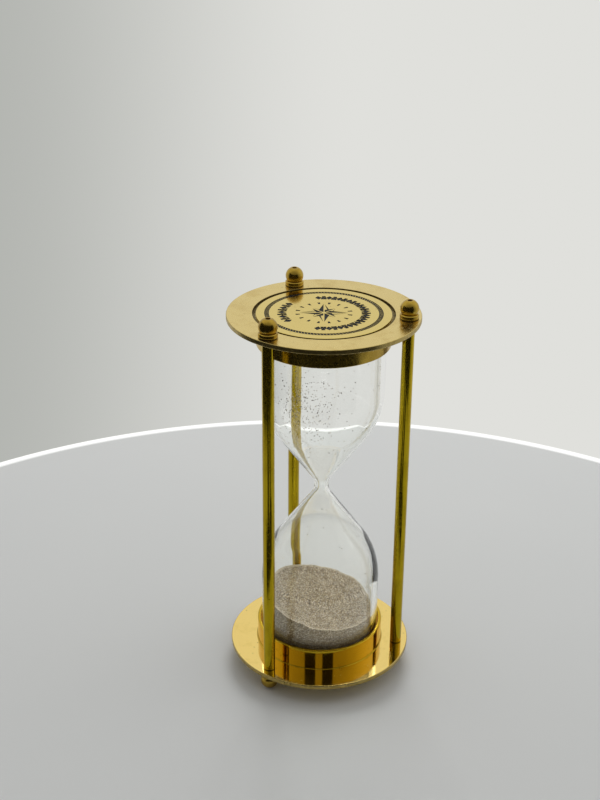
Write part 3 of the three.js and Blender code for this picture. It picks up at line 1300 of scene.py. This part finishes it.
@dataclass(frozen=True)
class BallNuts:
    """Six blind ball nuts: three on top, and three that the hourglass stands on.

    Attributes:
        base: The radius of a nut's round base.
        base_height: The base's height.
        edge: How far the base's lower edge is rounded.
        chamfer: The size of the base's outer chamfer.
        waist: The radius where the ball meets the base.
        ease: The width of the step round the waist.
        ball: The ball's radius.
        tip: The radius of the flat at the ball's tip.
        hole: The radius of the blind hole in the tip.
        hole_edge: How far the hole's rim is rounded.
        hole_depth: The hole's depth.
        bore: The radius of the bore for the stud.
        bore_depth: The bore's depth.
        points: The depths of the drilled points of the hole and of the bore.
        groove: The depth of the fine groove round the base.
        groove_levels: The heights of the groove's lower edge, floor and upper edge.
        steps: How many steps go round it.
    """

    base: float = 3.15
    base_height: float = 1.6
    edge: float = 0.1
    chamfer: float = 0.3
    waist: float = 2.5
    ease: float = 0.08
    ball: float = 3.07
    tip: float = 1.25
    hole: float = 0.8
    hole_edge: float = 0.12
    hole_depth: float = 1.2
    bore: float = 1.6
    bore_depth: float = 3.1
    points: Point = (0.4, 0.3)
    groove: float = 0.07
    groove_levels: tuple[float, float, float] = (0.45, 0.52, 0.6)
    steps: int = 72

    def build(self, finishes: Finishes) -> None:
        """Makes one nut, copies it to the six studs and dresses them."""
        lift = self.base_height + math.sqrt(self.ball**2 - self.waist**2)
        start = -math.degrees(math.acos(self.waist / self.ball))
        end = math.degrees(math.acos(self.tip / self.ball))
        top = lift + math.sqrt(self.ball**2 - self.tip**2)
        edge, rim = self.edge, self.hole_edge
        lower, floor, upper = self.groove_levels
        outline = (
            Outline()
            .to(self.bore, 0)
            .arc((self.base - edge, edge), edge, -90, 0, 3)
            .to(self.base, lower)
            .to(self.base - self.groove, floor)
            .to(self.base, upper)
            .arc((self.base - edge, self.base_height - self.chamfer), edge, 0, 45, 2)
            .to(self.base - self.chamfer, self.base_height)
            .to(self.waist + self.ease, self.base_height)
            .arc((0, lift), self.ball, start, end, 20)
            .arc((self.hole + rim, top - rim), rim, 90, 180, 3)
            .to(self.hole, top - self.hole_depth)
            .to(0, top - self.hole_depth - self.points[0])
            .to(0, self.bore_depth + self.points[1])
            .to(self.bore, self.bore_depth)
            .to(self.bore, 0)
        )
        first = middle("top_nut_back")
        model = outline.turned("top_nut_back_turned", first, 1, self.steps)
        even_shading(model)
        over = Matrix.Rotation(math.pi, 4, "X")
        for side in SIDES:
            for kind, flip in (("top_nut", Matrix.Identity(4)), ("foot_nut", over)):
                node = f"{kind}_{side}"
                if node == "top_nut_back":
                    finishes.dress(model, "nut_brass", "nut_brass", node)
                    continue
                foot = middle(node, "low" if kind == "top_nut" else "high")
                move = Matrix.Translation(foot) @ flip @ Matrix.Translation(-first)
                piece = copied(model, f"{node}_turned", move)
                finishes.dress(piece, "nut_brass", "nut_brass", node)


# ---- The glass and what is in it ----


@dataclass(frozen=True)
class BulbSide:
    """The side of one bulb, from the neck out to the flat end.

    Attributes:
        neck: The radius at the neck.
        reach: How far the straight neck goes from its middle.
        fillet: The radius of the fillet where the neck opens.
        shoulder: The radius of the arc between the cone and the straight wall.
        wall: The radius of the straight wall.
        corner: The radius of the corner at the flat end.
        end: The height of the flat end above the middle of the neck.
        cone: Half the cone's angle, in degrees.
    """

    neck: float
    reach: float
    fillet: float
    shoulder: float
    wall: float
    corner: float
    end: float
    cone: float = 35.5

    def points(self) -> list[Point]:
        """Lists the radii and heights along the side, from the neck outwards."""
        turn = math.radians(self.cone)
        bends = self.fillet + self.shoulder
        run = self.wall - self.neck - bends * (1 - math.cos(turn))
        height = self.reach + bends * math.sin(turn) + run / math.tan(turn)
        side = Outline()
        side.arc((self.neck + self.fillet, self.reach), self.fillet, 180, 180 - self.cone, 12)
        side.arc((self.wall - self.shoulder, height), self.shoulder, -self.cone, 0, 28)
        side.arc((self.wall - self.corner, self.end - self.corner), self.corner, 0, 90, 14)
        return side.points


def mirrored(points: Sequence[Point]) -> list[Point]:
    """Turns a side upside down, from its flat end to the neck."""
    return [(radius, -height) for radius, height in reversed(points)]


@dataclass(frozen=True)
class Vessel:
    """One blown glass: two bulbs, a short neck and a fill hole in the top end.

    Attributes:
        radius: Its outer radius.
        length: Its length.
        upper_wall: The wall of the upper bulb.
        lower_wall: The wall of the lower bulb.
        corner: The outer radius of its corners.
        neck: The outer radius of its neck, at its upper and its lower end.
        neck_reach: How far the neck goes up and down outside.
        neck_fillet: The outer fillets where the neck opens upwards and downwards.
        bore: The radius of the bore.
        bore_rise: How far the straight bore goes up.
        bore_drop: How far the straight bore goes down.
        bore_fillet: The inner fillet where the bore opens.
        shoulder: The radius of the shoulder's arc.
        hole: The radius of the fill hole.
        steps: How many steps go round it.
    """

    radius: float = 20.8
    length: float = 120.75
    upper_wall: float = 1.6
    lower_wall: float = 1.9
    corner: float = 5
    neck: Point = (2.4, 2.5)
    neck_reach: Point = (0.3, 0.9)
    neck_fillet: Point = (4.5, 3.5)
    bore: float = 1.3
    bore_rise: float = 0.1
    bore_drop: float = 0.1
    bore_fillet: float = 5
    shoulder: float = 28
    hole: float = 3.2
    steps: int = 160

    def outer(self, bulb: int) -> list[Point]:
        """Lists the outer side of the upper bulb, 0, or of the lower bulb, 1."""
        side = BulbSide(
            self.neck[bulb], self.neck_reach[bulb], self.neck_fillet[bulb], self.shoulder,
            self.radius, self.corner, self.length / 2,
        )
        return side.points()

    def inner(self, wall: float, reach: float, gap: float = 0) -> list[Point]:
        """Lists the inner side of one bulb.

        Args:
            wall: The glass's thickness there.
            reach: How far the straight bore goes from the neck's middle.
            gap: How far inside the glass the side lies.

        Returns:
            The radii and heights.
        """
        side = BulbSide(
            self.bore - gap, reach, self.bore_fillet + gap, self.shoulder - wall - gap,
            self.radius - wall - gap, self.corner - wall - gap, self.length / 2 - wall,
        )
        return side.points()

    def centre(self) -> Vector:
        """Finds the middle of the neck, in metres."""
        return (middle("glass_vessel") + middle("glass_vessel", "high")) / 2

    def build(self, finishes: Finishes) -> None:
        """Makes the glass and dresses it."""
        end = self.length / 2
        top, rim = end - self.upper_wall, self.upper_wall / 2
        outline = Outline([(0, -end), *mirrored(self.outer(1)), *self.outer(0)])
        outline.arc((self.hole + rim, end - rim), rim, 90, 270, 8)
        outline.points += reversed(self.inner(self.upper_wall, self.bore_rise))
        outline.points += reversed(mirrored(self.inner(self.lower_wall, self.bore_drop)))
        outline.to(0, self.lower_wall - end)
        glass = outline.turned("glass_vessel_blown", self.centre(), 1, self.steps)
        finishes.dress(glass, "clear_glass", "clear_glass", "glass_vessel")


@dataclass(frozen=True)
class SandHeap:
    """The sand in the lower bulb, with a lumpy, sloping top and loose grains on it.

    Attributes:
        vessel: The glass that it lies in.
        gap: Its gap to the glass.
        depth: Its depth in the middle.
        slope: How steep its top is, in degrees.
        high_side: The direction of its highest side, in degrees.
        valley: How much its sides stand above the valley across its middle.
        swell: The height of the low swell in its middle.
        bank: How far it is banked up against the glass.
        bank_width: The width of that bank.
        lumps: The height of each layer of lumps, and how many there are in a millimetre.
        rings: How many rings its top has.
        steps: How many steps go round it.
        loose: How many loose grains lie on top.
        grain: The smallest and largest half-width of a loose grain.
    """

    vessel: Vessel
    gap: float = 0.06
    depth: float = 10.9
    slope: float = 10.6
    high_side: float = 158
    valley: float = 2.4
    swell: float = 0.5
    bank: float = 0.5
    bank_width: float = 2.5
    lumps: tuple[Point, ...] = ((0.55, 0.16), (0.22, 0.45), (0.10, 2.1), (0.12, 4.3))
    rings: int = 84
    steps: int = 260
    loose: int = 2600
    grain: Point = (0.09, 0.2)

    def height(self, x: float, y: float) -> float:
        """Gives the top's height above the sand's floor at a place, in millimetres."""
        turn = math.radians(self.high_side)
        uphill = x * math.cos(turn) + y * math.sin(turn)
        across = -x * math.sin(turn) + y * math.cos(turn)
        place = Vector((x, y, 0))
        glass = self.vessel.radius - self.vessel.lower_wall
        inside = (glass - math.hypot(x, y)) / self.bank_width
        top = self.depth + uphill * math.tan(math.radians(self.slope))
        top += self.swell * math.exp(-((across / 7) ** 2 + ((uphill + 1) / 13) ** 2))
        top += self.valley * (uphill / glass) ** 2
        top += self.bank * max(0, 1 - inside) ** 2
        return top + sum(size * noise.noise(place * often) for size, often in self.lumps)

    def build(self, finishes: Finishes) -> None:
        """Makes the heap and its loose grains, and dresses them."""
        wall = self.vessel.lower_wall
        side = mirrored(self.vessel.inner(wall, self.vessel.bore_drop, self.gap))
        radius = max(point[0] for point in side)
        corner = self.vessel.corner - wall - self.gap
        floor = wall - self.vessel.length / 2
        outline = Outline().to(0, 0)
        outline.arc((radius - corner, corner), corner, -90, 0, 10)
        outline.to(radius, self.depth / 2)
        for ring in range(self.rings + 1):
            outline.to(radius * (1 - ring / self.rings), self.depth)
        base = self.vessel.centre() + Vector((0, 0, floor * MM))
        heap = outline.turned("sand_heap", base, 1, self.steps)
        for corner_point in heap.data.vertices:
            if corner_point.co.z > base.z + (self.depth - 0.01) * MM:
                x, y = corner_point.co.x / MM, corner_point.co.y / MM
                corner_point.co.z = base.z + self.height(x, y) * MM
        pick(heap)
        bpy.ops.object.shade_smooth_by_angle(angle=math.radians(60))
        finishes.dress(heap, "sand", "sand", "sand")
        self.strew(base, radius, finishes)

    def strew(self, base: Vector, radius: float, finishes: Finishes) -> None:
        """Lays the loose grains on the heap.

        Args:
            base: The middle of the sand's floor, in metres.
            radius: The heap's radius, in millimetres.
            finishes: The materials.
        """
        dice = random.Random(11)
        places, tones = [], []
        for _ in range(self.loose):
            out, turn = (radius - 0.25) * math.sqrt(dice.random()), dice.uniform(0, math.tau)
            x, y = out * math.cos(turn), out * math.sin(turn)
            spot = base + Vector((x, y, self.height(x, y))) * MM
            size = Matrix.Diagonal([dice.uniform(*self.grain) for _ in range(3)]).to_4x4()
            roll = Matrix.Rotation(dice.uniform(0, math.tau), 4, "Z")
            places.append(Matrix.Translation(spot) @ roll @ size)
            tones.append(dice.choice((0.0, 0.15, 0.45, 0.6, 0.75, 0.95, 1.0)))
        piece = scattered("sand_loose_grains", one_grain(), places, tones)
        finishes.dress(piece, "single_grains", "sand")


def one_grain() -> bpy.types.Object:
    """Makes one rough grain of sand, one millimetre in radius, at the origin."""
    deselect()
    bpy.ops.mesh.primitive_ico_sphere_add(subdivisions=1, radius=MM, location=(0, 0, 0))
    grain = bpy.context.object
    bpy.ops.object.mode_set(mode="EDIT")
    bpy.ops.mesh.select_all(action="SELECT")
    bpy.ops.transform.vertex_random(offset=0.18 * MM, seed=3)
    bpy.ops.object.mode_set(mode="OBJECT")
    return grain


@dataclass(frozen=True)
class ClingingGrains:
    """Grains that cling to the inside of the glass.

    Attributes:
        vessel: The glass.
        dense: How many cling in the cluster at one side of the upper bulb.
        sparse: How many cling elsewhere in the upper bulb.
        lower: How many cling in the lower bulb.
        cluster_height: The cluster's height above the neck and the spread of that height.
        side: The cluster's direction and the spread of that direction, in degrees.
        grain: The smallest and largest half-width of a grain.
    """

    vessel: Vessel
    dense: int = 340
    sparse: int = 120
    lower: int = 36
    cluster_height: Point = (23, 5)
    side: Point = (92, 24)
    grain: Point = (0.13, 0.24)

    def wall_at(self, side: Sequence[Point], height: float) -> float:
        """Finds the inner radius of the glass at a height.

        Args:
            side: The radii and heights of the inner side, upwards.
            height: The height above the neck's middle.

        Returns:
            The radius, in millimetres.
        """
        for (r0, h0), (r1, h1) in zip(side, side[1:]):
            if h0 <= height <= h1 and h1 > h0:
                return r0 + (r1 - r0) * (height - h0) / (h1 - h0)
        return side[-1][0]

    def build(self, finishes: Finishes) -> None:
        """Makes the grains and dresses them."""
        dice = random.Random(7)
        upper = self.vessel.inner(self.vessel.upper_wall, self.vessel.bore_rise)
        lower = mirrored(self.vessel.inner(self.vessel.lower_wall, self.vessel.bore_drop))
        places, tones = [], []
        neck = self.vessel.centre()
        spots = [
            (upper, dice.gauss(*self.cluster_height), dice.gauss(*self.side))
            for _ in range(self.dense)
        ]
        spots += [(upper, dice.uniform(8, 52), dice.uniform(0, 360)) for _ in range(self.sparse)]
        spots += [(lower, dice.uniform(-42, -12), dice.uniform(0, 360)) for _ in range(self.lower)]
        for side, height, turn in spots:
            size = dice.uniform(*self.grain)
            radius = self.wall_at(side, min(height, 54)) - size * 0.8
            angle = math.radians(turn)
            where = Vector((radius * math.cos(angle), radius * math.sin(angle), height)) * MM
            roll = Matrix.Rotation(dice.uniform(0, math.tau), 4, "X")
            stretch = Matrix.Diagonal([size, size * dice.uniform(0.7, 1.1), size]).to_4x4()
            places.append(Matrix.Translation(neck + where) @ roll @ stretch)
            tones.append(dice.choice((0.05, 0.15, 0.4, 0.95, 1.0)))
        piece = scattered("sand_clinging_grains", one_grain(), places, tones)
        finishes.dress(piece, "single_grains", "sand")


@dataclass(frozen=True)
class Corks:
    """The cork pads at the glass's ends and the stopper in its fill hole.

    Attributes:
        pad: The radius of a pad.
        edge: How far a pad's edges are rounded.
        stopper: The radius of the stopper at its wide end.
        taper: How much narrower its other end is.
    """

    pad: float = 20.7
    edge: float = 0.35
    stopper: float = 2.9
    taper: float = 0.25

    def build(self, finishes: Finishes) -> None:
        """Makes the two pads and the stopper, and dresses them."""
        for node, radius, taper in (
            ("top_pad", self.pad, 0),
            ("bottom_pad", self.pad, 0),
            ("fill_stopper", self.stopper, self.taper),
        ):
            low, high = middle(node), middle(node, "high")
            top, edge = (high.z - low.z) / MM, self.edge
            outline = (
                Outline()
                .to(0, 0)
                .arc((radius - taper - edge, edge), edge, -90, 0, 5)
                .arc((radius - edge, top - edge), edge, 0, 90, 5)
                .to(0, top)
            )
            piece = outline.turned(f"{node}_cork", low, 1, 96)
            even_shading(piece)
            finishes.dress(piece, "cork", "cork", node)


# ---- Where it stands ----


@dataclass(frozen=True)
class Studio:
    """A pale round table top, soft light from behind, dark cards and the camera.

    Attributes:
        heading: The direction of the camera from the object, in degrees.
        distance: The camera's distance from the object's axis.
        height: The camera's height.
        yaw: How far the camera looks to the right, in radians.
        pitch: How far it looks down, in radians.
        roll: How far it is rolled, in radians.
        lens: Its focal length.
        table: The table's radius.
        table_offset: How far the table's middle is in front of the object.
        table_edge: How far the table's edge is rounded.
        table_rim: How far in from its edge the table's shiny rim starts and is whole.
        table_painted_highlight: How far in from its edge the painted highlight, a pale glow on the
            rim, starts and is whole.
        card_distance: How far the cards stand from the object's axis.
        cards: The heights of each card's edges, and the directions that it spans, in degrees
            from the camera's side.
    """

    heading: float = -111.6
    distance: float = 403.3
    height: float = 289.8
    yaw: float = -0.0189
    pitch: float = 0.4368
    roll: float = 0.0067
    lens: float = 59.55
    table: float = 249.5
    table_offset: float = 52.8
    table_edge: float = 3
    table_rim: Point = (4.2, 3.8)
    table_painted_highlight: Point = (7.5, 5)
    card_distance: float = 88
    cards: tuple[tuple[float, float, float, float], ...] = (
        (0, 32, -42, 42),
        (32, 72, -23, -5.5),
        (32, 72, 5.5, 23),
        (72, 190, -95, 56),
    )

    def turned(self) -> Matrix:
        """Gives the turn from a frame whose -Y is the camera's side to the object's frame."""
        return Matrix.Rotation(math.radians(self.heading + 90), 4, "Z")

    def add_camera(self) -> None:
        """Adds the camera."""
        ahead = Vector(
            (
                math.sin(self.yaw) * math.cos(self.pitch),
                math.cos(self.yaw) * math.cos(self.pitch),
                -math.sin(self.pitch),
            )
        )
        right = ahead.cross(UP).normalized()
        over = right.cross(ahead)
        tilt = Matrix.Rotation(self.roll, 3, -ahead)
        right, over = tilt @ right, tilt @ over
        axes = Matrix((right, over, -ahead)).transposed().to_4x4()
        data = bpy.data.cameras.new("camera")
        data.lens, data.clip_start, data.clip_end = self.lens, 0.01, 20
        camera = bpy.data.objects.new("camera", data)
        bpy.context.collection.objects.link(camera)
        spot = Matrix.Translation(Vector((0, -self.distance, self.height)) * MM)
        camera.matrix_world = self.turned() @ spot @ axes
        bpy.context.scene.camera = camera

    def add_lamp(self, name: str, where: Sequence[float], size: float, power: float) -> None:
        """Adds one soft lamp that faces the object.

        Args:
            name: Its name.
            where: Where it is, in millimetres, with the camera towards -Y.
            size: Its width.
            power: Its power, in watts.
        """
        data = bpy.data.lights.new(name, "AREA")
        data.shape, data.size, data.energy = "DISK", size * MM, power
        lamp = bpy.data.objects.new(name, data)
        lamp.visible_glossy = False
        bpy.context.collection.objects.link(lamp)
        place = self.turned() @ (Vector(where) * MM)
        aim = (place - Vector((0, 0, 0.06))).to_track_quat("Z", "Y").to_matrix().to_4x4()
        lamp.matrix_world = Matrix.Translation(place) @ aim

    def add_table(self) -> None:
        """Adds the table top, a turned disc with a rounded edge and a shiny rim with a painted,
        glowing highlight.
        """
        outline = (
            Outline()
            .to(0, 0)
            .to(self.table - 2 * self.table_edge, 0)
            .arc((self.table - self.table_edge, -self.table_edge), self.table_edge, 90, -90, 10)
            .to(0, -2 * self.table_edge)
        )
        spot = self.turned() @ (Vector((0, -self.table_offset, 0)) * MM)
        table = outline.turned("table", spot, 1, 256)
        even_shading(table)
        made = bpy.data.materials.new("pale_table")
        sheet = NodeSheet(made)
        cloud = sheet.noise(sheet.stretched([0.01, 0.01, 0.01]), detail=2)
        grit = sheet.noise(sheet.stretched([0.8, 0.8, 0.8]), detail=2)
        x, y, _ = sheet.axes()
        x, y = x - spot.x / MM, y - spot.y / MM
        out = (x * x + y * y) ** 0.5
        rim, glow = (
            out.band(self.table - start, self.table - whole)
            for start, whole in (self.table_rim, self.table_painted_highlight)
        )
        sheet.principled(
            {
                "Base Color": sheet.mix(cloud, (0.70, 0.715, 0.71), (0.74, 0.75, 0.74)),
                "Roughness": rim * -0.32 + grit.band(0.3, 0.7, 0.46, 0.52),
                "Metallic": rim,
                # Painted highlight: the rim glows pale though it is no lamp.
                "Emission Color": sheet.mix(glow, (0, 0, 0), (0.5, 0.5, 0.49)),
                "Emission Strength": 1,
                "Specular IOR Level": 0.35,
            }
        )
        table.data.materials.append(made)

    def add_cards(self) -> None:
        """Adds the dark cards round the object, whose inner faces only the brass mirrors."""
        made = bpy.data.materials.new("dark_card")
        sheet = NodeSheet(made)
        dark = sheet.principled({"Base Color": (0.012, 0.012, 0.012, 1), "Roughness": 0.9})
        rays = sheet.node("ShaderNodeLightPath", {}, {})
        outside = sheet.node("ShaderNodeNewGeometry", {}, {}).outputs["Backfacing"]
        through = Value(sheet, rays.outputs["Transmission Depth"]).band(0.2, 0.8)
        through = through.larger(Value(sheet, outside))
        sheet.see_through(through, dark, (1, 1, 1, 1))
        for low, high, start, end in self.cards:
            card = begin("card")
            edges = [Vector((0, -self.card_distance, level)) * MM for level in (low, high)]
            draw([self.turned() @ edge for edge in edges])
            bpy.ops.mesh.select_all(action="SELECT")
            bpy.ops.mesh.spin(
                steps=24, angle=math.radians(start - end), center=(0, 0, 0), axis=UP
            )
            bpy.ops.object.mode_set(mode="OBJECT")
            turned_in_place(card, Matrix.Rotation(math.radians(start), 4, "Z"))
            card.data.materials.append(made)
            card.visible_camera = card.visible_diffuse = card.visible_shadow = False
            card.visible_transmission = False

    def add_sky(self) -> None:
        """Adds the soft surroundings, brighter behind the object and above it."""
        world = bpy.data.worlds.new("surroundings")
        bpy.context.scene.world = world
        sheet = NodeSheet(world)
        look = sheet.node("ShaderNodeTexCoord", {}, {}).outputs["Generated"]
        back = self.turned() @ Vector((0, 1, 0))
        right = self.turned() @ Vector((1, 0, 0))

        def along(direction: Vector) -> Value:
            """Measures how far a ray goes one way."""
            dot = sheet.node(
                "ShaderNodeVectorMath", {"operation": "DOT_PRODUCT"}, {0: look, 1: direction}
            )
            return Value(sheet, dot.outputs["Value"])

        behind, above, aside = along(back), along(UP), along(right)
        glow = behind.band(-0.8, 0.3, 0.2, 0.72) + above.band(-0.1, 0.9) * 0.14
        rays = sheet.node("ShaderNodeLightPath", {}, {})
        glow = glow * (1 - Value(sheet, rays.outputs["Is Diffuse Ray"]) * 0.34)
        lit = sheet.mix(glow, (0, 0, 0), (1.0, 0.995, 0.98))
        wall = sheet.mix(aside.band(-0.27, 0.03), (0.45, 0.46, 0.435), (0.745, 0.745, 0.715))
        seen = Value(sheet, rays.outputs["Is Camera Ray"])
        seen = seen.larger(Value(sheet, rays.outputs["Transmission Depth"]).band(0.2, 0.8))
        shown = sheet.node(
            "ShaderNodeBackground", {}, {"Color": sheet.mix(seen, lit, wall), "Strength": 1.0}
        )
        sheet.node("ShaderNodeOutputWorld", {}, {"Surface": shown.outputs[0]})

    def build(self) -> None:
        """Sets the table, the lights and the camera."""
        self.add_camera()
        self.add_table()
        self.add_cards()
        self.add_sky()
        self.add_lamp("window_lamp", (40, 640, 580), 420, 2.35)
        self.add_lamp("ceiling_lamp", (150, -60, 900), 700, 0.4)
        self.add_lamp("side_lamp", (650, 150, 420), 420, 0.35)
        scene = bpy.context.scene
        scene.view_settings.view_transform = "Standard"
        scene.cycles.max_bounces = scene.cycles.transmission_bounces = 20
        scene.cycles.glossy_bounces = 14


def main() -> None:
    """Builds the hourglass and its studio in order."""
    logging.basicConfig(level=logging.INFO, format="%(name)s %(message)s")
    Studio().build()
    finishes = Finishes()
    for end in (TOP, BOTTOM):
        EndPlate(end).build(finishes)
        Medallion(end).build(finishes)
        Collar(end).build(finishes)
    Pillars().build(finishes)
    BallNuts().build(finishes)
    vessel = Vessel()
    vessel.build(finishes)
    SandHeap(vessel).build(finishes)
    ClingingGrains(vessel).build(finishes)
    Corks().build(finishes)


if __name__ == "__main__":
    main()
